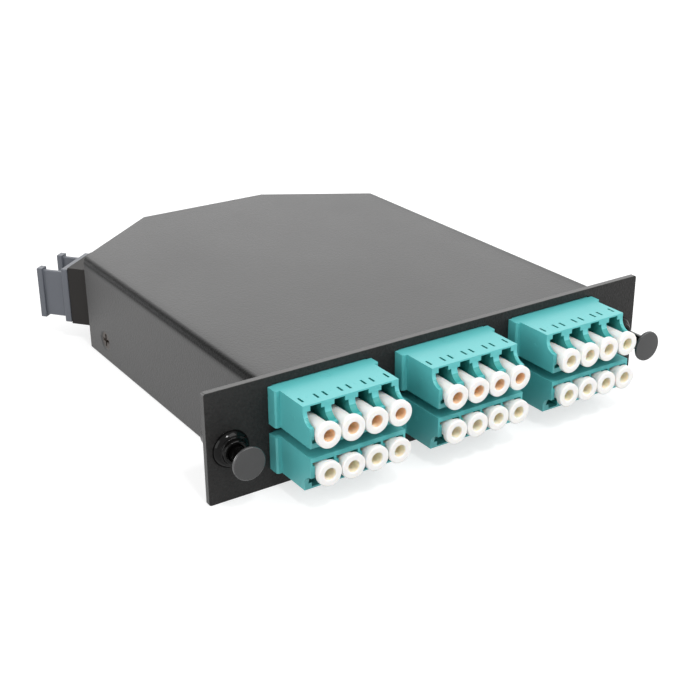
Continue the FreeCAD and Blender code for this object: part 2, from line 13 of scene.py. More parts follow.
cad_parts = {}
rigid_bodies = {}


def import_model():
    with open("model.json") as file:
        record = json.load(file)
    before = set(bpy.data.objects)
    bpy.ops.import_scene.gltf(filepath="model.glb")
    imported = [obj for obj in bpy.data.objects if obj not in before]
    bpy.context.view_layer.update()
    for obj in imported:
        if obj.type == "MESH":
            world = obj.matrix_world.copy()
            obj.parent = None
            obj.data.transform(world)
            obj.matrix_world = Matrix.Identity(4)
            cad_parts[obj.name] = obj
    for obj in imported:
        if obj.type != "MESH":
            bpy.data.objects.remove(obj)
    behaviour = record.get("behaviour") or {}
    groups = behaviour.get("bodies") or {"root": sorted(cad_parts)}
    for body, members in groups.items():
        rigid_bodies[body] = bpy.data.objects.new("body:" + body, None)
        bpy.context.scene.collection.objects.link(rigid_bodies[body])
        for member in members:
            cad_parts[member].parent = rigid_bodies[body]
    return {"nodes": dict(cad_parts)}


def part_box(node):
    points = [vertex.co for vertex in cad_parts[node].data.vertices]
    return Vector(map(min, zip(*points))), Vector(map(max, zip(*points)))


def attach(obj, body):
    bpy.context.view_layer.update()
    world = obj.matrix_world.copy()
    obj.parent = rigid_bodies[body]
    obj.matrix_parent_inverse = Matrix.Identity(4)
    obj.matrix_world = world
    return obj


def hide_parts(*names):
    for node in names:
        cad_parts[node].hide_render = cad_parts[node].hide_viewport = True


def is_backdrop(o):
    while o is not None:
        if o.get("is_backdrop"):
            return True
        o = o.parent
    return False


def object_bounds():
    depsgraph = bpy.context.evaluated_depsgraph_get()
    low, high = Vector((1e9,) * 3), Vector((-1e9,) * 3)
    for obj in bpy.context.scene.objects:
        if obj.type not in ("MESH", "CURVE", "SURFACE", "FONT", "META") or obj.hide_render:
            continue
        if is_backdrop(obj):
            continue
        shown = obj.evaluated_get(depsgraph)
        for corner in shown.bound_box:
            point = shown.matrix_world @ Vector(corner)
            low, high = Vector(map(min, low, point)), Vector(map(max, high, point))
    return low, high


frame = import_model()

LOG = logging.getLogger("cassette")
CAD_LOW, CAD_HIGH = (tuple(corner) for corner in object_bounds())
CASSETTE = "cassette"
PORTS = 4
QUARTER = math.pi / 2
TOUCHING = 1e-6
ON_AXIS = 1e-9
BLACK = (0.0, 0.0, 0.0, 1.0)
WHITE_LIGHT = (1.0, 1.0, 1.0, 1.0)
Point = tuple[float, float]
Colour = tuple[float, float, float]
Corner = tuple[float, float, float]
Feeds = dict[str | int, object]
Node = bpy.types.Node
Tree = bpy.types.NodeTree
Socket = bpy.types.NodeSocket
Outputs = bpy.types.bpy_prop_collection
Mesh = bpy.types.Mesh
Piece = bpy.types.Object


class Slot(Enum):
    """Material slots of the record."""

    POWDER = "powder_black"
    SCREW = "screw_black"
    MOUNT = "mount_black"
    ADAPTER = "adapter_aqua"
    SOCKET = "adapter_grey"
    PLUG = "plug_white"
    GROMMET = "latch_black"
    PLUNGER = "latch_grey"


class Row(Enum):
    """The two rows of adapters."""

    UPPER = "upper"
    LOWER = "lower"


class Column(Enum):
    """The three columns of adapters."""

    LEFT = "left"
    MIDDLE = "middle"
    RIGHT = "right"


@dataclass(frozen=True)
class Bay:
    """One of the six places for an adapter."""

    row: Row
    column: Column

    @property
    def name(self) -> str:
        """The bay as the nodes' names have it."""
        return f"{self.row.value}_{self.column.value}"

    @property
    def box(self) -> tuple[Vector, Vector]:
        """Lowest and highest corners of the bay's adapter."""
        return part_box(f"adapter_{self.name}")


BAYS = tuple(Bay(row, column) for row in Row for column in Column)


# ---- node trees ----
class Wiring:
    """Short calls that add and join the nodes of one tree."""

    def __init__(self, tree: Tree) -> None:
        """Keep the tree."""
        self.tree = tree

    def feed(self, node: Node, feeds: Feeds) -> None:
        """Set or join inputs of a node.

        Args:
            node: The node.
            feeds: The value to set or the socket to join, by input.
        """
        for label, source in feeds.items():
            if isinstance(source, Socket):
                self.tree.links.new(source, node.inputs[label])
            else:
                node.inputs[label].default_value = source

    def add(self, kind: str, feeds: Feeds | None = None, **settings: object) -> Outputs:
        """Add a node.

        Args:
            kind: Node type.
            feeds: Values or sockets for its inputs.
            **settings: Attributes to set on it first.

        Returns:
            The new node's outputs.
        """
        node = self.tree.nodes.new(kind)
        for key, value in settings.items():
            setattr(node, key, value)
        self.feed(node, feeds or {})
        return node.outputs

    def math(self, operation: str, *terms: object, **settings: object) -> Socket:
        """Reckon with sockets and numbers.

        Args:
            operation: Operation of the Math node.
            *terms: Its inputs, in order.
            **settings: Other attributes of the node.

        Returns:
            The result.
        """
        feeds = dict(enumerate(terms))
        return self.add("ShaderNodeMath", feeds, operation=operation, **settings)[0]

    def mixed(self, factor: object, first: object, second: object, kind: str = "RGBA") -> Socket:
        """Mix two colours or two values.

        Args:
            factor: Share of the second one.
            first: The first colour or value.
            second: The second colour or value.
            kind: Data type of both.

        Returns:
            The mix.
        """
        feeds = {"Factor": factor, "A": first, "B": second}
        return self.add("ShaderNodeMix", feeds, data_type=kind)["Result"]

    def ranged(
        self, value: object, span: Point = (0.0, 1.0), result: Point = (0.0, 1.0),
        **settings: object,
    ) -> Socket:
        """Map a value from one span to another.

        Args:
            value: The value.
            span: Where it starts and ends.
            result: What it becomes at the start and the end.
            **settings: Attributes of the node.

        Returns:
            The mapped value.
        """
        ends = dict(zip(("From Min", "From Max", "To Min", "To Max"), (*span, *result)))
        return self.add("ShaderNodeMapRange", {"Value": value, **ends}, **settings)["Result"]

    def group(self, tree: Tree, **values: float) -> Outputs:
        """Place a shared group with its own values, and give its outputs."""
        return self.add("ShaderNodeGroup", values, node_tree=tree)


class ShaderGroup(Wiring):
    """A node group for materials, made once."""

    def __init__(self, name: str, inputs: dict[str, float], outputs: list[str]) -> None:
        """Make the group with its sockets and its object coordinates.

        Args:
            name: Name of the group.
            inputs: Float inputs and their defaults.
            outputs: Float outputs.
        """
        super().__init__(bpy.data.node_groups.new(name, "ShaderNodeTree"))
        face, kind = self.tree.interface, "NodeSocketFloat"
        for label, value in inputs.items():
            socket = face.new_socket(label, in_out="INPUT", socket_type=kind)
            socket.default_value = value
        for label in outputs:
            face.new_socket(label, in_out="OUTPUT", socket_type=kind)
        self.inside = self.add("NodeGroupInput")
        self.outside = self.tree.nodes.new("NodeGroupOutput")
        self.place = self.add("ShaderNodeTexCoord")["Object"]

    def noise(self, size: str, **settings: float) -> Socket:
        """Add noise in object coordinates.

        Args:
            size: Input with the size of its grains, in metres.
            **settings: Other inputs of the noise.

        Returns:
            The noise, from 0 to 1.
        """
        scale = self.math("DIVIDE", 1.0, self.inside[size])
        feeds = {"Vector": self.place, "Scale": scale, **settings}
        return self.add("ShaderNodeTexNoise", feeds)["Fac"]


def grain_group() -> Tree:
    """Fine skin of a coat or moulding: bump height and a soft change of tone.

    Returns:
        Group with inputs Size and Patch, in metres, and outputs Height and Tone.
    """
    group = ShaderGroup("skin_grain", {"Size": 0.0004, "Patch": 0.02}, ["Height", "Tone"])
    height = group.noise("Size", Detail=2.0, Roughness=0.55)
    tone = group.noise("Patch", Detail=3.0, Roughness=0.6)
    group.feed(group.outside, {"Height": height, "Tone": tone})
    return group.tree


def scuff_group(span: Point = (0.66, 0.85)) -> Tree:
    """Sparse fine scuffs and dust specks.

    Args:
        span: Noise at which a scuff starts and is full.

    Returns:
        Group with input Size, in metres, and output Mask from 0 to 1.
    """
    group = ShaderGroup("fine_scuffs", {"Size": 0.004}, ["Mask"])
    noise = group.noise("Size", Detail=6.0, Roughness=0.7, Distortion=0.8)
    mask = group.ranged(noise, span, interpolation_type="SMOOTHSTEP")
    group.feed(group.outside, {"Mask": mask})
    return group.tree


@dataclass(frozen=True)
class PaintedFoldReflection:
    """A soft painted dark reflection along the cover's bends, in metres and in shares of its
    width.
    """

    inset: float = 0.0009
    depth: float = 0.11
    widths: Point = (1.15, 0.8)
    band: Point = (-0.008, 0.003)
    steps: tuple[Point, ...] = (
        (0.31, 0.04), (0.48, 0.22), (0.555, 0.62), (0.618, 0.93), (0.66, 1.0),
        (0.74, 1.0), (0.785, 0.97), (0.815, 0.7), (0.864, 0.2),
    )
    end: float = 0.941

    def tree(self) -> Tree:
        """Build the mask as a shared group.

        Returns:
            Group with inputs Side and Top, the outer faces in metres, and output Mask.
        """
        group = ShaderGroup("fold_shade", {"Side": 0.05, "Top": 0.014}, ["Mask"])
        axes = group.add("ShaderNodeSeparateXYZ", {0: group.place})
        mirrored = group.math("ABSOLUTE", axes["X"])
        across = group.math("SUBTRACT", mirrored, group.inside["Side"])
        down = group.math("SUBTRACT", group.inside["Top"], axes["Z"])
        away = group.math("SUBTRACT", group.math("ADD", across, down), self.inset)
        width = group.ranged(axes["Y"], (0.0, self.depth), self.widths)
        spread = group.ranged(group.math("DIVIDE", away, width), self.band)
        ramp = group.tree.nodes.new("ShaderNodeValToRGB")
        stops = ramp.color_ramp.elements
        stops[1].position = self.end
        stops[1].color = BLACK
        for position, shade in self.steps:
            stops.new(position).color = (shade, shade, shade, 1.0)
        group.feed(ramp, {"Fac": spread})
        group.feed(group.outside, {"Mask": ramp.outputs["Color"]})
        return group.tree


GRAIN = grain_group()
SCUFFS = scuff_group()
FOLD_REFLECTION_GROUP = PaintedFoldReflection().tree()


# ---- finishes ----
@dataclass(frozen=True)
class Finish:
    """A coat or moulded skin: grain, a soft change of tone, scuffs and a painted dark reflection
    on bends.
    """

    name: str
    dark: Colour
    light: Colour
    roughness: Point
    grain: float = 0.0003
    patch: float = 0.01
    bump: float = 0.000004
    scuff: float = 0.0
    scuff_size: float = 0.006
    scuff_paler: Point = (1.5, 0.03)
    specular: float = 0.5
    metallic: float = 0.0
    subsurface: float = 0.0
    subsurface_radius: Colour = (1.0, 0.85, 0.7)
    subsurface_scale: float = 0.0008
    speckle: float = 0.0
    painted_fold_line: bool = False

    def material(self) -> bpy.types.Material:
        """Build the material, or return it if it exists.

        Returns:
            The node material of this finish.
        """
        made = bpy.data.materials.get(self.name)
        if made is not None:
            return made
        made = bpy.data.materials.new(self.name)
        made.use_nodes = True
        wiring = Wiring(made.node_tree)
        grain = wiring.group(GRAIN, Size=self.grain, Patch=self.patch)
        mottle = wiring.mixed(self.speckle, grain["Tone"], grain["Height"], "FLOAT")
        colour = wiring.mixed(mottle, (*self.dark, 1.0), (*self.light, 1.0))
        roughness = wiring.ranged(grain["Tone"], result=self.roughness)
        metallic: float | Socket = self.metallic
        if self.scuff:
            colour, roughness = self._scuffed(wiring, colour, roughness)
        if self.painted_fold_line:
            colour, metallic = self._paint_fold_reflection(wiring, colour)
        relief = {"Strength": 1.0, "Distance": self.bump, "Height": grain["Height"]}
        feeds = {
            "Base Color": colour,
            "Roughness": roughness,
            "Metallic": metallic,
            "Normal": wiring.add("ShaderNodeBump", relief)["Normal"],
            "Specular IOR Level": self.specular,
        }
        if self.subsurface:
            feeds["Subsurface Weight"] = self.subsurface
            feeds["Subsurface Radius"] = self.subsurface_radius
            feeds["Subsurface Scale"] = self.subsurface_scale
        wiring.feed(made.node_tree.nodes["Principled BSDF"], feeds)
        return made

    def _scuffed(self, wiring: Wiring, colour: Socket, rough: Socket) -> tuple[Socket, Socket]:
        """Lay scuffs over the colour and the gloss.

        Args:
            wiring: Wiring of the material.
            colour: Colour so far.
            rough: Roughness so far.

        Returns:
            The new colour and roughness.
        """
        scuffs = wiring.group(SCUFFS, Size=self.scuff_size)
        amount = wiring.math("MULTIPLY", scuffs["Mask"], self.scuff)
        gain, lift = self.scuff_paler
        pale = tuple(min(1.0, value * gain + lift) for value in self.light)
        duller = wiring.math("ADD", rough, amount, use_clamp=True)
        return wiring.mixed(amount, colour, (*pale, 1.0)), duller

    def _paint_fold_reflection(self, wiring: Wiring, colour: Socket) -> tuple[Socket, Socket]:
        """Paint a dark reflection on the bends, and dull them with the same mask as metallic
        value.

        Args:
            wiring: Wiring of the material.
            colour: Colour so far.

        Returns:
            The new colour and the metallic value.
        """
        _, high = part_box("cover")
        mask = wiring.group(FOLD_REFLECTION_GROUP, Side=high.x, Top=high.z)["Mask"]
        return wiring.mixed(mask, colour, BLACK), mask


POWDER = Finish(
    "black_powder_coat", (0.008, 0.0078, 0.0078), (0.026, 0.0252, 0.0248), (0.43, 0.51),
    grain=0.00048, patch=0.03, bump=0.00008, scuff=0.03, specular=0.6, speckle=0.6,
)
# The cover's coat carries the painted dark reflection along its bends.
COVER_POWDER = replace(POWDER, name="black_cover_coat", painted_fold_line=True)
# Lighter coat for the panel's upward edge: its lighter tone is painted sheen, and its scuffs are
# wear.
TOP_EDGE_SHEEN = Finish(
    "worn_edge_coat", (0.02, 0.02, 0.02), (0.1, 0.098, 0.096), (0.4, 0.55),
    grain=0.0004, patch=0.003, bump=0.00003, scuff=0.1, specular=0.55, speckle=0.4,
)
MATT_POWDER = Finish(
    "black_face_coat", (0.0, 0.0, 0.0), (0.025, 0.0237, 0.0232), (0.5, 0.62),
    grain=0.0006, patch=0.018, bump=0.00016, scuff=0.05, specular=0.27, speckle=0.85,
)
MOUNT_BLACK = Finish(
    "black_mount_coat", (0.009, 0.0078, 0.007), (0.016, 0.0142, 0.0128), (0.5, 0.62),
    patch=0.006, bump=0.00001, scuff=0.06, specular=0.24,
)
SCREW_BLACK = Finish(
    "black_screw_coat", (0.035, 0.027, 0.022), (0.06, 0.048, 0.04), (0.36, 0.48),
    patch=0.002, bump=0.000008, specular=0.3,
)
AQUA = Finish(
    "aqua_moulding", (0.085, 0.425, 0.43), (0.103, 0.465, 0.47), (0.36, 0.46),
    grain=0.00022, patch=0.012, scuff=0.03,
)
AQUA_DARK = Finish("aqua_inner_moulding", (0.05, 0.32, 0.31), (0.07, 0.36, 0.345), (0.4, 0.5))
# Darker aqua for the slots in the adapters' outer faces: painted shade.
AQUA_SLOT_SHADE = Finish(
    "aqua_slot_moulding", (0.014, 0.22, 0.205), (0.024, 0.27, 0.25), (0.5, 0.6), specular=0.3
)
# Darker aqua for the walls inside the ports: painted shade.
AQUA_PORT_SHADE = Finish(
    "aqua_port_moulding", (0.02, 0.27, 0.255), (0.034, 0.31, 0.29), (0.4, 0.5), specular=0.4
)
SLATE = Finish(
    "slate_moulding", (0.09, 0.098, 0.114), (0.112, 0.12, 0.14), (0.38, 0.5),
    grain=0.00025, bump=0.000005, scuff=0.03,
)
WHITE = Finish(
    "white_soft_moulding", (0.80, 0.79, 0.77), (0.84, 0.835, 0.82), (0.4, 0.52),
    patch=0.006, specular=0.45, subsurface=0.5,
)
# Bore floors: beige for the sleeve's end, brightened with painted bounce light; the tan one is a
# painted orange glint.
BORE_SLEEVE_AND_BOUNCE = Finish(
    "plug_bore_shade", (0.88, 0.81, 0.63), (0.95, 0.9, 0.75), (0.5, 0.6),
    patch=0.003, specular=0.3, subsurface=1.0,
)
BORE_GLINT = Finish(
    "plug_bore_tan", (0.9, 0.62, 0.4), (0.95, 0.76, 0.54), (0.5, 0.6),
    patch=0.003, specular=0.3, subsurface=1.0,
)
JET = Finish(
    "jet_gloss_moulding", (0.001, 0.001, 0.001), (0.003, 0.0028, 0.0027), (0.08, 0.15),
    grain=0.0006, patch=0.004, bump=0.000002, specular=0.15,
)
CHARCOAL = Finish(
    "charcoal_moulding", (0.027, 0.027, 0.0275), (0.038, 0.038, 0.0385), (0.42, 0.52),
    grain=0.00018, patch=0.003, bump=0.000006, scuff=0.02,
)
CHARCOAL_RIM = Finish(
    "charcoal_gloss_rim", (0.03, 0.03, 0.031), (0.04, 0.04, 0.041), (0.14, 0.22),
    grain=0.0004, patch=0.002, bump=0.000003, specular=0.7,
)
STRIP_STEEL = Finish(
    "rolled_strip_steel", (0.5, 0.5, 0.5), (0.62, 0.62, 0.61), (0.25, 0.38),
    grain=0.0001, patch=0.004, bump=0.000002, metallic=1.0,
)


# ---- mesh making ----
def dressed(piece: Piece, body: str, slot: Slot, *nodes: str) -> Piece:
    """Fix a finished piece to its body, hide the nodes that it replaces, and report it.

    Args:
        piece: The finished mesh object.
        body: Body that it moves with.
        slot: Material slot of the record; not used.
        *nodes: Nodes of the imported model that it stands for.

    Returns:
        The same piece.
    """
    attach(piece, body)
    if nodes:
        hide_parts(*nodes)
    LOG.info("%s rides on %s with %d faces", piece.name, body, len(piece.data.polygons))
    return piece


def paint_node(node: str, finish: Finish) -> None:
    """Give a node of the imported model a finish, its form as it is.

    Args:
        node: Name of the node.
        finish: Its finish.
    """
    piece = frame["nodes"][node]
    piece.data.materials.clear()
    piece.data.materials.append(finish.material())
    LOG.info("%s keeps its form and takes %s", node, finish.name)


def placed(name: str, mesh: Mesh, *finishes: Finish) -> Piece:
    """Put a mesh in the scene as an object at the origin.

    Args:
        name: Name of the object.
        mesh: Its mesh.
        *finishes: Finishes to add to the mesh.

    Returns:
        The object.
    """
    for finish in finishes:
        mesh.materials.append(finish.material())
    piece = bpy.data.objects.new(name, mesh)
    bpy.context.scene.collection.objects.link(piece)
    return piece


def meshed(name: str, form: bmesh.types.BMesh) -> Mesh:
    """Turn a form into a mesh.

    Args:
        name: Name of the mesh.
        form: The form, which is freed.

    Returns:
        The mesh.
    """
    mesh = bpy.data.meshes.new(name)
    form.to_mesh(mesh)
    form.free()
    return mesh


def baked(piece: Piece) -> Mesh:
    """Evaluate a piece with its modifiers.

    Args:
        piece: The piece, which stays as it is.

    Returns:
        The result as a plain mesh.
    """
    bpy.context.view_layer.update()
    graph = bpy.context.evaluated_depsgraph_get()
    return bpy.data.meshes.new_from_object(piece.evaluated_get(graph), depsgraph=graph)


def edged_copy(
    node: str, name: str, finish: Finish, edge: float, segments: int = 2,
    flat: float = 0.5, sharp: float = 32.0,
) -> Piece:
    """Copy a node's form with its seams joined and its sharp edges rounded.

    Args:
        node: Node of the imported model.
        name: Name of the new piece.
        finish: Its finish.
        edge: Width of the rounded edge, in metres.
        segments: Faces across each rounded edge.
        flat: Angle under which faces are joined, in degrees.
        sharp: Angle over which an edge is rounded, in degrees.

    Returns:
        The new piece, with a live bevel.
    """
    form = bmesh.new()
    form.from_mesh(frame["nodes"][node].data)
    bmesh.ops.remove_doubles(form, verts=form.verts, dist=TOUCHING)
    bmesh.ops.dissolve_limit(
        form, angle_limit=math.radians(flat), verts=form.verts, edges=form.edges,
        use_dissolve_boundaries=False,
    )
    for face in form.faces:
        face.smooth = True
        face.material_index = 0
    mesh = meshed(name, form)
    for stale in ("custom_normal", "sharp_face", "sharp_edge"):
        if stale in mesh.attributes:
            mesh.attributes.remove(mesh.attributes[stale])
    piece = placed(name, mesh, finish)
    bevel = piece.modifiers.new("rounded_edges", "BEVEL")
    bevel.width = edge
    bevel.segments = segments
    bevel.limit_method = "ANGLE"
    bevel.angle_limit = math.radians(sharp)
    bevel.harden_normals = True
    bevel.use_clamp_overlap = True
    level = piece.modifiers.new("flat_faces_level", "WEIGHTED_NORMAL")
    level.mode = "FACE_AREA"
    level.weight = 100
    level.keep_sharp = True
    return piece


def turned(name: str, profile: list[Point], sides: int, centre: Vector | None = None) -> Mesh:
    """Turn a closed section of (radius, y) corners about an axis along Y.

    Args:
        name: Name of the mesh.
        profile: Corners in metres, in order, from the front pole to the back pole.
        sides: Number of faces round the axis.
        centre: Point on the axis with y of zero in the profile, or None for the origin.

    Returns:
        A closed mesh with faces that point outwards.
    """
    form, middle = bmesh.new(), centre or Vector()
    rings: list[list[bmesh.types.BMVert]] = []
    for radius, y in profile:
        count = sides if radius > ON_AXIS else 1
        turns = (2 * math.pi * side / sides for side in range(count))
        corners = ((radius * math.cos(turn), y, radius * math.sin(turn)) for turn in turns)
        rings.append([form.verts.new(middle + Vector(corner)) for corner in corners])
    for first, second in zip(rings, rings[1:] + rings[:1]):
        if len(first) == len(second) == 1:
            continue
        for side in range(sides):
            after = (side + 1) % sides
            quad = [first[side % len(first)], first[after % len(first)]]
            quad += [second[after % len(second)], second[side % len(second)]]
            form.faces.new(list(dict.fromkeys(quad)))
    bmesh.ops.recalc_face_normals(form, faces=form.faces)
    for face in form.faces:
        face.smooth = True
    return meshed(name, form)


def rounded(corners: list[Corner], steps: int = 4) -> list[Point]:
    """Round the corners of an open (radius, y) profile.

    Args:
        corners: Each corner's radius, y and the size of its rounding, in metres.
        steps: Points along each rounding.

    Returns:
        The profile's points.
    """
    points: list[Point] = []
    for index, (radius, y, size) in enumerate(corners):
        if size <= 0 or index in (0, len(corners) - 1):
            points.append((radius, y))
            continue
        here = Vector((radius, y))
        before = (Vector(corners[index - 1][:2]) - here).normalized() * size
        after = (Vector(corners[index + 1][:2]) - here).normalized() * size
        for step in range(steps + 1):
            t = step / steps
            spot = here + before * (1 - t) ** 2 + after * t**2
            points.append((spot.x, spot.y))
    return points


def cut_by(piece: Piece, cutters: list[Piece]) -> None:
    """Cut closed forms out of a piece and drop them.

    Args:
        piece: The piece to cut.
        cutters: The forms to take away, which are removed.
    """
    for cutter in cutters:
        cut = piece.modifiers.new("cut", "BOOLEAN")
        cut.operation = "DIFFERENCE"
        cut.solver = "EXACT"
        cut.object = cutter
    mesh = baked(piece)
    piece.modifiers.clear()
    piece.data = mesh
    for cutter in cutters:
        bpy.data.objects.remove(cutter)


def creased(mesh: Mesh, angle: float) -> None:
    """Shade a mesh smooth, with a crease where its faces meet at more than an angle.

    Args:
        mesh: The mesh.
        angle: Least angle of a crease, in degrees.
    """
    form = bmesh.new()
    form.from_mesh(mesh)
    for face in form.faces:
        face.smooth = True
    for edge in form.edges:
        edge.smooth = edge.calc_face_angle(0.0) < math.radians(angle)
    form.to_mesh(mesh)
    form.free()


# ---- Geometry Nodes ----
@dataclass(frozen=True)
class Spot:
    """Where a repeated part stands, how it is turned, and 1 where its floor takes the painted
    glint.
    """

    place: Vector
    turn: Vector
    warm: float = 0.0


class RepeatTree(Wiring):
    """A Geometry Nodes tree that puts one object on every point, with a seeded lean."""

    INPUTS = (
        ("Part", "NodeSocketObject"),
        ("Lean", "NodeSocketFloat"),
        ("Seed", "NodeSocketInt"),
        ("Skin", "NodeSocketMaterial"),
        ("Floor", "NodeSocketMaterial"),
        ("Warm Floor", "NodeSocketMaterial"),
    )
    MARKED = 0.7

    def __init__(self, name: str) -> None:
        """Build the tree with its named inputs.

        Args:
            name: Name of the tree.
        """
        super().__init__(bpy.data.node_groups.new(name, "GeometryNodeTree"))
        face, shape = self.tree.interface, "NodeSocketGeometry"
        face.new_socket("Geometry", in_out="INPUT", socket_type=shape)
        self.ids = {
            label: face.new_socket(label, in_out="INPUT", socket_type=kind).identifier
            for label, kind in self.INPUTS
        }
        face.new_socket("Geometry", in_out="OUTPUT", socket_type=shape)
        self._wire()

    def _wire(self) -> None:
        """Add and join the nodes."""
        inside = self.add("NodeGroupInput")
        outside = self.tree.nodes.new("NodeGroupOutput")
        feeds = {"As Instance": True, "Object": inside["Part"]}
        part = self.add("GeometryNodeObjectInfo", feeds, transform_space="ORIGINAL")
        feeds = {0: (-1.0, 0.0, -1.0), 1: (1.0, 0.0, 1.0), "Seed": inside["Seed"]}
        chance = self.add("FunctionNodeRandomValue", feeds, data_type="FLOAT_VECTOR")
        feeds = {0: chance[0], "Scale": inside["Lean"]}
        lean = self.add("ShaderNodeVectorMath", feeds, operation="SCALE")
        feeds = {0: lean["Vector"], 1: self._attribute("own_turn", "FLOAT_VECTOR")}
        turn = self.add("ShaderNodeVectorMath", feeds, operation="ADD")
        feeds = {"Points": inside["Geometry"], "Instance": part["Geometry"]}
        feeds["Rotation"] = turn["Vector"]
        put = self.add("GeometryNodeInstanceOnPoints", feeds)
        real = self.add("GeometryNodeRealizeInstances", {"Geometry": put["Instances"]})
        skin = self._painted(real["Geometry"], inside["Skin"])
        marked = self._attribute("floor", "FLOAT")
        floor = self._painted(skin, inside["Floor"], marked)
        both = self.math("MULTIPLY", marked, self._attribute("warm", "FLOAT"))
        warm = self._painted(floor, inside["Warm Floor"], both)
        self.feed(outside, {"Geometry": warm})

    def _attribute(self, name: str, kind: str) -> Socket:
        """Read a stored attribute of a data type."""
        feeds = {"Name": name}
        return self.add("GeometryNodeInputNamedAttribute", feeds, data_type=kind)["Attribute"]

    def _painted(self, shape: Socket, material: Socket, where: Socket | None = None) -> Socket:
        """Set a material on a shape, or on the part of it that a mask picks.

        Args:
            shape: Geometry to paint.
            material: Socket with the material.
            where: Mask, or None for all of it.

        Returns:
            The painted geometry.
        """
        feeds: Feeds = {"Geometry": shape, "Material": material}
        if where is not None:
            sides = {"B": self.MARKED, "A": where}
            settings = {"data_type": "FLOAT", "operation": "GREATER_THAN"}
            feeds["Selection"] = self.add("FunctionNodeCompare", sides, **settings)["Result"]
        return self.add("GeometryNodeSetMaterial", feeds)["Geometry"]

    def _points(self, name: str, spots: list[Spot]) -> Mesh:
        """Make the points that the tree reads.

        Args:
            name: Name of the mesh.
            spots: The points.

        Returns:
            Mesh of loose vertices with the attributes own_turn and warm.
        """
        mesh = bpy.data.meshes.new(name)
        mesh.from_pydata([tuple(spot.place) for spot in spots], [], [])
        turns = [value for spot in spots for value in spot.turn]
        turn = mesh.attributes.new("own_turn", "FLOAT_VECTOR", "POINT")
        turn.data.foreach_set("vector", turns)
        warm = mesh.attributes.new("warm", "FLOAT", "POINT")
        warm.data.foreach_set("value", [spot.warm for spot in spots])
        return mesh

    def grown(
        self, name: str, part: Piece, spots: list[Spot],
        finishes: tuple[Finish, Finish, Finish], lean: float = 0.0, seed: int = 1,
    ) -> Piece:
        """Put a part on every spot and keep the result as a plain mesh.

        Args:
            name: Name of the new piece.
            part: The part, which is removed.
            spots: Where it stands.
            finishes: Finishes of its skin, its floor and its floor with the painted glint.
            lean: Largest chance lean, in radians.
            seed: Seed of the leans.

        Returns:
            The piece, with no modifier left.
        """
        piece = placed(name, self._points(f"{name}_places", spots))
        grow = piece.modifiers.new("repeat", "NODES")
        grow.node_group = self.tree
        values = (part, lean, seed, *(finish.material() for finish in finishes))
        for (label, _), value in zip(self.INPUTS, values):
            grow[self.ids[label]] = value
        piece.update_tag()
        mesh = baked(piece)
        mesh.name = name
        piece.modifiers.remove(grow)
        piece.data = mesh
        bpy.data.objects.remove(part)
        return piece


REPEAT = RepeatTree("part_on_points")


# ---- sub-assemblies ----
@dataclass
class SideScrews:
    """Countersunk cross-recess screws, one form put in both side walls."""

    head_sink: float = 0.0003
    rim_gap: float = 0.00022
    rim_round: float = 0.0003
    cone_depth: float = 0.0009
    shaft: float = 0.0014
    shaft_round: float = 0.0002
    length: float = 0.0043
    arm: Point = (0.0019, 0.0006)
    half_width: Point = (0.00046, 0.00022)
    recess: float = 0.0017
    recess_mouth: float = -0.001
    second_turn: float = 0.6
    sides: int = 48
    steps: int = 5
    crease: float = 28.0

    def build(self) -> None:
        """Make the screw and put one in each wall."""
        low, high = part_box("cover_screws")
        head = (high.z - low.z) / 2
        z = low.z + head
        spots = [
            Spot(Vector((low.x, low.y + head, z)), Vector((0.0, 0.0, -QUARTER))),
            Spot(Vector((high.x, high.y - head, z)), Vector((0.0, self.second_turn, QUARTER))),
        ]
        finishes = (SCREW_BLACK, JET, JET)
        screws = REPEAT.grown("side_screws", self._form(head), spots, finishes)
        dressed(screws, CASSETTE, Slot.SCREW, "cover_screws")

    def _form(self, head: float) -> Piece:
        """Make one screw along Y with its face near the origin.

        Args:
            head: Radius of the head's hole.

        Returns:
            The screw's object.
        """
        rim = head - self.rim_gap
        corners = [
            (0.0, self.head_sink, 0.0),
            (rim, self.head_sink, self.rim_round),
            (self.shaft, self.cone_depth + self.head_sink, 0.0),
            (self.shaft, self.length, self.shaft_round),
            (0.0, self.length, 0.0),
        ]
        mesh = turned("screw_form", rounded(corners, self.steps), self.sides)
        screw = placed("screw_form", mesh)
        cut_by(screw, [self._arm(0.0), self._arm(QUARTER)])
        creased(screw.data, self.crease)
        return screw

    def _arm(self, turn: float) -> Piece:
        """Make one tapered arm of the cross recess.

        Args:
            turn: Its turn about the screw's axis.

        Returns:
            A closed form that narrows into the head.
        """
        form = bmesh.new()
        spun = Matrix.Rotation(turn, 3, "Y")
        rings = []
        for depth, end in ((self.recess_mouth, 0), (self.head_sink, 0), (self.recess, 1)):
            arm, half = self.arm[end], self.half_width[end]
            corners = ((-arm, -half), (arm, -half), (arm, half), (-arm, half))
            rings.append([form.verts.new(spun @ Vector((x, depth, z))) for x, z in corners])
        form.faces.new(rings[0])
        form.faces.new(rings[-1])
        for first, second in zip(rings, rings[1:]):
            for side in range(len(first)):
                after = (side + 1) % len(first)
                form.faces.new((first[side], first[after], second[after], second[side]))
        bmesh.ops.recalc_face_normals(form, faces=form.faces)
        return placed("recess_arm", meshed("recess_arm", form))


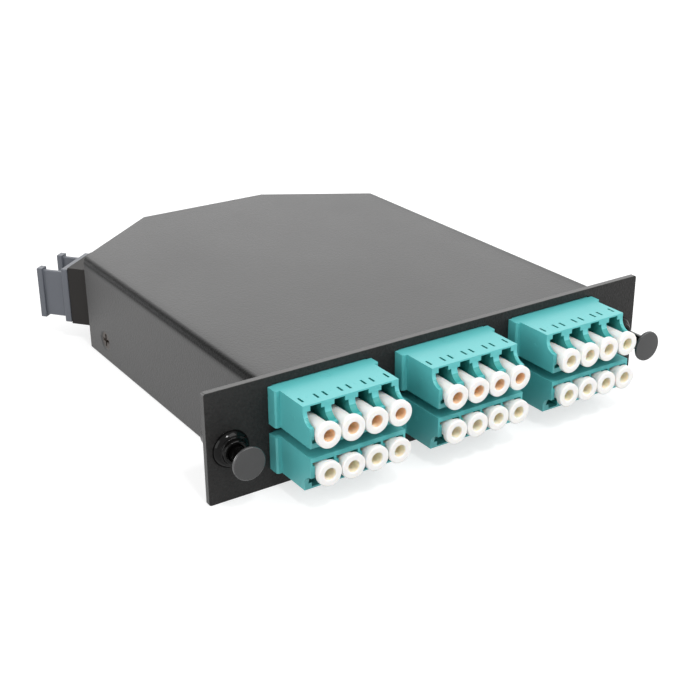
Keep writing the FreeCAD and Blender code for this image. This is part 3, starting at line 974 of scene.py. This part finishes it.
@dataclass
class SheetBox:
    """Panel, cover, tray and screws: folded and punched sheet with rounded cut edges."""

    cut_edge: float = 0.00012
    facing: float = 0.5

    def build(self) -> None:
        """Make the four pieces."""
        for node, name, finish in (
            ("base_tray", "tray_sheet", POWDER),
            ("front_panel", "panel_sheet", MATT_POWDER),
            ("cover", "cover_sheet", COVER_POWDER),
        ):
            sheet = edged_copy(node, name, finish, self.cut_edge)
            if node == "front_panel":
                self._tone_edges(sheet)
            dressed(sheet, CASSETTE, Slot.POWDER, node)
        SideScrews().build()

    def _tone_edges(self, panel: Piece) -> None:
        """Give the panel's cut edges the plain coat, and its top edge a lighter one with painted
        sheen.

        Args:
            panel: The panel's piece.
        """
        for finish in (POWDER, TOP_EDGE_SHEEN):
            panel.data.materials.append(finish.material())
        for face in panel.data.polygons:
            if abs(face.normal.y) <= self.facing:
                # Upward-facing cut edges take the lighter coat as painted sheen.
                face.material_index = 2 if face.normal.z > self.facing else 1


@dataclass
class AdapterBank:
    """Six four-port adapters with rounded mouldings, and what sits behind them."""

    edge: float = 0.00013
    flange: float = 0.0013
    pitch: float = 0.00625
    proud: float = 0.00003
    ejector: float = 0.0006
    ejector_upper: Point = (-0.0104, 0.0003)
    ejector_lower: Point = (-0.0088, 0.0009)
    pip: float = 0.00022
    pip_y: float = -0.0108
    gate: float = 0.0013
    gate_line: float = 0.0002
    gate_shoulder: float = 0.4
    gate_y: float = -0.0038
    pad_sides: int = 24
    ring_sides: int = 36
    slot_skin: float = 0.00002
    slot_depth: float = 0.00085
    slot_span: Point = (-0.013, -0.01)
    port_wall: float = 0.0007
    port_lip: float = 0.0006
    facing: float = 0.9

    def build(self) -> None:
        """Make the adapters and their marks, and dress the pieces behind the panel."""
        for bay in BAYS:
            node = f"adapter_{bay.name}"
            shell = edged_copy(node, f"adapter_shell_{bay.name}", AQUA, self.edge)
            self._paint_hollow_shade(shell, bay)
            dressed(shell, CASSETTE, Slot.ADAPTER, node)
            paint_node(f"adapter_clip_{bay.name}", STRIP_STEEL)
            paint_node(f"inner_plugs_{bay.name}", AQUA_DARK)
        steps = [self.pitch * (port - (PORTS - 1) / 2) for port in range(PORTS)]
        rings = [self._face_spot(bay, 0.0, self.gate_y) for bay in BAYS]
        pips = [self._face_spot(bay, step, self.pip_y) for bay in BAYS for step in steps]
        self._marks("ejector_rounds", self._disc(self.ejector), self._side_spots())
        self._marks("gate_rings", self._ring(), rings)
        self._marks("port_pips", self._disc(self.pip), pips)

    def _paint_hollow_shade(self, shell: Piece, bay: Bay) -> None:
        """Paint shade into the small slots in the outer face and the insides of the ports, as
        darker aqua.

        Args:
            shell: The adapter's piece.
            bay: Where it stands.
        """
        low, high = bay.box
        for finish in (AQUA_SLOT_SHADE, AQUA_PORT_SHADE):
            shell.data.materials.append(finish.material())
        outer = high.z if bay.row is Row.UPPER else low.z
        for face in shell.data.polygons:
            spans = [shell.data.vertices[index].co.y for index in face.vertices]
            slotted = self.slot_span[0] < min(spans) and max(spans) < self.slot_span[1]
            centre = face.center
            inside = min(centre.x - low.x, high.x - centre.x) - self.flange > self.port_wall
            inside = inside and min(centre.z - low.z, high.z - centre.z) > self.port_wall
            inside = inside and centre.y > low.y + self.port_lip
            if slotted and self.slot_skin < abs(centre.z - outer) < self.slot_depth:
                # Slot faces take the painted shade.
                face.material_index = 1
            elif inside and abs(face.normal.y) < self.facing:
                # Port walls take the painted shade.
                face.material_index = 2

    def _disc(self, radius: float) -> Piece:
        """Make a low round pad that faces -Y.

        Args:
            radius: Its radius.

        Returns:
            The pad's object.
        """
        corners = [
            (0.0, -self.proud, 0.0),
            (radius, -self.proud, self.proud),
            (radius, self.proud, 0.0),
            (0.0, self.proud, 0.0),
        ]
        return placed("pad_form", turned("pad_form", rounded(corners), self.pad_sides))

    def _ring(self) -> Piece:
        """Make a low ring that faces -Y.

        Returns:
            The ring's object.
        """
        inner, outer = self.gate - self.gate_line, self.gate
        shoulder = -self.proud * self.gate_shoulder
        corners = [
            (inner, self.proud), (inner, shoulder), ((inner + outer) / 2, -self.proud),
            (outer, shoulder), (outer, self.proud),
        ]
        return placed("ring_form", turned("ring_form", corners, self.ring_sides))

    def _marks(self, name: str, form: Piece, spots: list[Spot]) -> None:
        """Put a moulding mark, which is removed after, at each spot."""
        piece = REPEAT.grown(name, form, spots, (AQUA, AQUA, AQUA))
        dressed(piece, CASSETTE, Slot.ADAPTER)

    def _side_spots(self) -> list[Spot]:
        """Find the spots on both sides of every adapter, in front of its flange.

        Returns:
            The spots, two for each adapter.
        """
        spots = []
        for bay in BAYS:
            low, high = bay.box
            upper = bay.row is Row.UPPER
            y, rise = self.ejector_upper if upper else self.ejector_lower
            z = (low.z + high.z) / 2 + rise
            for x, turn in ((low.x + self.flange, -QUARTER), (high.x - self.flange, QUARTER)):
                spots.append(Spot(Vector((x, y, z)), Vector((0.0, 0.0, turn))))
        return spots

    def _face_spot(self, bay: Bay, along: float, y: float) -> Spot:
        """Find a spot on an adapter's outer face, up in the upper row and down in the lower.

        Args:
            bay: The adapter's bay.
            along: Distance from its middle, along X.
            y: The spot's y.

        Returns:
            The spot.
        """
        low, high = bay.box
        up = bay.row is Row.UPPER
        place = Vector(((low.x + high.x) / 2 + along, y, high.z if up else low.z))
        return Spot(place, Vector((-QUARTER if up else QUARTER, 0.0, 0.0)))


@dataclass
class DustPlugs:
    """Twenty-four hollow plugs, each leaning a little in its port."""

    lean: float = 0.008
    seed: int = 7
    sides: int = 56
    lean_room: float = 0.00013
    ring: float = 0.0014
    ring_round: float = 0.00024
    shoulder: float = 0.0001
    stem: float = 0.00215
    stem_round: float = 0.0003
    bore: float = 0.00145
    bore_depth: float = 0.0085
    bore_taper: float = 0.96
    bore_round: float = 0.0002
    mouth: float = 0.0004
    mouth_round: float = 0.00024
    inside_share: float = 1.02
    inside_from: float = 0.0002
    own_lean: tuple[tuple[Bay, float], ...] = (
        (Bay(Row.UPPER, Column.LEFT), -0.022),
        (Bay(Row.UPPER, Column.MIDDLE), 0.026),
    )
    # Bays whose bore floors take the painted orange glint.
    warm: tuple[Bay, ...] = (Bay(Row.UPPER, Column.LEFT), Bay(Row.UPPER, Column.MIDDLE))

    def build(self) -> None:
        """Make the plug once and put it in every port."""
        part = self._plug()
        spots, nodes = [], []
        for bay in BAYS:
            turn = Vector((dict(self.own_lean).get(bay, 0.0), 0.0, 0.0))
            for number in range(1, PORTS + 1):
                node = f"dust_plug_{bay.name}_{number}"
                low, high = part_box(node)
                centre = (low + high) / 2
                place = Vector((centre.x, high.y, centre.z))
                spots.append(Spot(place, turn, float(bay in self.warm)))
                nodes.append(node)
        finishes = (WHITE, BORE_SLEEVE_AND_BOUNCE, BORE_GLINT)
        piece = REPEAT.grown("dust_plugs", part, spots, finishes, self.lean, self.seed)
        dressed(piece, CASSETTE, Slot.PLUG, *nodes)

    def _plug(self) -> Piece:
        """Turn one plug about Y, its inner end at the origin.

        Returns:
            An object with the attribute floor on the bore's end.
        """
        low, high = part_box("dust_plug_upper_left_1")
        length, head = high.y - low.y, (high.x - low.x) / 2
        front = -length + self.lean_room
        neck, bore_end = front + self.ring, front + self.bore_depth
        corners = [
            (0.0, bore_end, 0.0),
            (self.bore * self.bore_taper, bore_end, self.bore_round),
            (self.bore, front + self.mouth, 0.0),
            (self.bore, front, self.mouth_round),
            (head, front, self.ring_round),
            (head, neck, self.ring_round),
            (self.stem, neck + self.shoulder, self.stem_round),
            (self.stem, 0.0, self.stem_round),
            (0.0, 0.0, 0.0),
        ]
        mesh = turned("plug_form", rounded(corners), self.sides)
        widest, start = self.bore * self.inside_share, front + self.inside_from
        floor = [
            float(math.hypot(x, z) < widest and start < y < bore_end + TOUCHING)
            for x, y, z in (vertex.co for vertex in mesh.vertices)
        ]
        mesh.attributes.new("floor", "FLOAT", "POINT").data.foreach_set("value", floor)
        return placed("plug_form", mesh)


@dataclass
class Latches:
    """Push-pull latches: glossy collars, dark stems and round heads."""

    sides: int = 72
    steps: int = 5
    barrel: Point = (0.00208, 0.0031)
    barrel_step: float = 0.0001
    bore_round: float = 0.0002
    collar_mouth: tuple[Corner, ...] = (
        (0.0030, 0.0, 0.0005), (0.0032, 0.0013, 0.0003), (0.0037, 0.00135, 0.0004),
    )
    collar_foot: tuple[Corner, ...] = ((0.0046, -0.0006, 0.0006), (0.0046, 0.0, 0.0001))
    head_thickness: float = 0.0008
    head_share: float = 0.95
    head_round: float = 0.00035
    face_inset: float = 0.0001
    face_round: float = 0.00025
    neck: float = 0.0026
    neck_step: float = 0.00004
    neck_end: float = 0.00115
    neck_round: float = 0.0001
    stem: float = 0.0020
    stem_round: float = 0.0003
    rim: float = 0.0003
    jet_from: float = 0.0004

    def build(self) -> None:
        """Make both grommets and both plungers."""
        form = bmesh.new()
        for side in ("left", "right"):
            low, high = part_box(f"latch_plunger_{side}")
            centre = Vector(((low.x + high.x) / 2, 0.0, (low.z + high.z) / 2))
            form.from_mesh(self._collar(side, centre))
            self._plunger(side, centre, low.y, high.y, (high.x - low.x) / 2)
        collars = placed("latch_collars", meshed("latch_collars", form), JET)
        dressed(collars, CASSETTE, Slot.GROMMET, "latch_grommets")

    def _collar(self, side: str, centre: Vector) -> Mesh:
        """Turn one collar, neck and barrel.

        Args:
            side: Which latch.
            centre: Point on its axis.

        Returns:
            The new mesh.
        """
        low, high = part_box("latch_grommets")
        panel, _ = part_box("front_panel")
        bore, wall = self.barrel
        corners = [(bore, high.y, 0.0), (bore, low.y, self.bore_round)]
        corners += [(radius, low.y + y, size) for radius, y, size in self.collar_mouth]
        corners += [(radius, panel.y + y, size) for radius, y, size in self.collar_foot]
        corners += [(wall, panel.y + self.barrel_step, 0.0), (wall, high.y, 0.0)]
        return turned(f"collar_{side}", rounded(corners, self.steps), self.sides, centre)

    def _plunger(
        self, side: str, centre: Vector, front: float, tip: float, radius: float
    ) -> None:
        """Turn one head and stem.

        Args:
            side: Which latch.
            centre: Point on its axis.
            front: The head's front face.
            tip: The stem's end.
            radius: The head's radius.
        """
        back = front + self.head_thickness
        edge = radius * self.head_share
        corners = [
            (0.0, front, 0.0),
            (edge - self.face_inset, front, self.face_round),
            (edge, back, self.head_round),
            (self.neck, back + self.neck_step, self.neck_round),
            (self.stem, front + self.neck_end, self.neck_round),
            (self.stem, tip, self.stem_round),
            (0.0, tip, 0.0),
        ]
        name = f"push_head_{side}"
        mesh = turned(name, rounded(corners, self.steps), self.sides, centre)
        piece = placed(name, mesh, CHARCOAL, JET, CHARCOAL_RIM)
        for face in mesh.polygons:
            away = math.hypot(face.center.x - centre.x, face.center.z - centre.z)
            on_rim = away > edge - self.rim and face.center.y < back
            behind = face.center.y > back + self.jet_from
            face.material_index = 1 if behind else 2 if on_rim else 0
        dressed(piece, f"{side}_plunger", Slot.PLUNGER, f"latch_plunger_{side}")


@dataclass
class RearSocket:
    """The multi-fibre adapter on its mount at the rear corner, and its connector."""

    edge: float = 0.00025
    segments: int = 3
    mount_edge: float = 0.00015

    def build(self) -> None:
        """Make the adapter and its mount, and dress the inner connector."""
        for node, name, finish, slot, *form in (
            ("rear_adapter", "rear_socket_shell", SLATE, Slot.SOCKET, self.edge, self.segments),
            ("rear_adapter_mount", "rear_socket_mount", MOUNT_BLACK, Slot.MOUNT, self.mount_edge),
        ):
            dressed(edged_copy(node, name, finish, *form), CASSETTE, slot, node)
        paint_node("inner_multi_fibre_plug", AQUA_DARK)


# ---- stage ----
@dataclass(frozen=True)
class Lamp:
    """A square soft lamp: its place and side in metres, and its watts."""

    name: str
    place: Corner
    size: float
    power: float

    def build(self, target: Corner) -> None:
        """Hang the lamp.

        Args:
            target: Point that it faces.
        """
        light = bpy.data.lights.new(self.name, "AREA")
        light.shape = "SQUARE"
        light.size = self.size
        light.energy = self.power
        lamp = bpy.data.objects.new(self.name, light)
        lamp.location = self.place
        aim = Vector(target) - Vector(self.place)
        lamp.rotation_mode = "QUATERNION"
        lamp.rotation_quaternion = aim.to_track_quat("-Z", "Y")
        bpy.context.scene.collection.objects.link(lamp)


@dataclass
class Studio:
    """White floor and world, soft light and the camera."""

    lamps: tuple[Lamp, ...] = (
        Lamp("key", (0.45, -0.75, 0.9), 0.8, 8.0),
        Lamp("spark", (-0.12, -0.62, 1.0), 0.1, 3.6),
        Lamp("rear_box", (1.15, 2.1, 1.2), 2.6, 23.0),
        Lamp("left_fill", (-1.1, -0.1, 0.45), 0.8, 5.0),
        Lamp("left_rear", (-0.95, 1.35, 0.3), 0.8, 9.0),
        Lamp("right_low", (1.25, -1.15, 0.22), 0.5, 3.0),
    )
    lamp_target: Corner = (0.0, 0.04, 0.0)
    ambient: float = 0.6
    floor_tone: float = 0.42
    floor_glow: float = 0.68
    floor_roughness: float = 0.9
    floor_specular: float = 0.1
    floor_half: float = 1.6
    floor_gap: float = 0.00005
    lens: float = 66.04
    sensor: float = 36.0
    clip: Point = (0.01, 20.0)
    spot: Corner = (-0.175105, -0.227887, 0.135892)
    azimuth: float = -33.2556
    elevation: float = 23.8961
    roll: float = -0.4122

    def build(self) -> None:
        """Make floor, world, lamps and camera."""
        self._floor()
        self._world()
        for lamp in self.lamps:
            lamp.build(self.lamp_target)
        self._camera()

    def _floor(self) -> None:
        """A wide floor just under the object's lowest point."""
        half, z = self.floor_half, CAD_LOW[2] - self.floor_gap
        mesh = bpy.data.meshes.new("floor")
        corners = [(-half, -half, z), (half, -half, z), (half, half, z), (-half, half, z)]
        mesh.from_pydata(corners, [], [(0, 1, 2, 3)])
        material = bpy.data.materials.new("white_floor")
        material.use_nodes = True
        wiring = Wiring(material.node_tree)
        feeds = {
            "Base Color": (self.floor_tone,) * 3 + (1.0,),
            "Roughness": self.floor_roughness,
            "Specular IOR Level": self.floor_specular,
            "Emission Color": WHITE_LIGHT,
            "Emission Strength": wiring.math("MULTIPLY", self._seen(wiring), self.floor_glow),
        }
        wiring.feed(material.node_tree.nodes["Principled BSDF"], feeds)
        mesh.materials.append(material)
        placed("floor", mesh)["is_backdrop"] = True

    def _seen(self, wiring: Wiring) -> Socket:
        """Pick the rays that show the background.

        Args:
            wiring: Wiring of the floor or the world.

        Returns:
            Socket that is 1 for camera, glossy and transmission rays.
        """
        path = wiring.add("ShaderNodeLightPath")
        seen = path["Is Camera Ray"]
        for ray in ("Is Glossy Ray", "Is Transmission Ray"):
            seen = wiring.math("MAXIMUM", seen, path[ray])
        return seen

    def _world(self) -> None:
        """White where the camera and reflections look, softer where it lights."""
        world = bpy.data.worlds.new("studio")
        bpy.context.scene.world = world
        world.use_nodes = True
        wiring = Wiring(world.node_tree)
        level = wiring.ranged(self._seen(wiring), result=(self.ambient, 1.0))
        feeds = {"Color": WHITE_LIGHT, "Strength": level}
        wiring.feed(world.node_tree.nodes["Background"], feeds)

    def _camera(self) -> None:
        """The camera, at the object's front left."""
        lens = bpy.data.cameras.new("camera")
        lens.lens = self.lens
        lens.sensor_width = self.sensor
        lens.clip_start, lens.clip_end = self.clip
        camera = bpy.data.objects.new("camera", lens)
        turn, rise = math.radians(self.azimuth), math.radians(self.elevation)
        flat = math.cos(rise)
        away = Vector((math.sin(turn) * flat, -math.cos(turn) * flat, math.sin(rise)))
        aim = (-away).to_track_quat("-Z", "Y").to_matrix().to_4x4()
        level = Matrix.Rotation(math.radians(self.roll), 4, "Z")
        camera.matrix_world = Matrix.Translation(self.spot) @ aim @ level
        bpy.context.scene.collection.objects.link(camera)
        bpy.context.scene.camera = camera


def main() -> None:
    """Build every sub-assembly in order."""
    logging.basicConfig(level=logging.INFO, format="%(name)s: %(message)s")
    bpy.context.scene.view_settings.view_transform = "Standard"
    for part in (Studio(), SheetBox(), AdapterBank(), DustPlugs(), Latches(), RearSocket()):
        part.build()


if __name__ == "__main__":
    main()
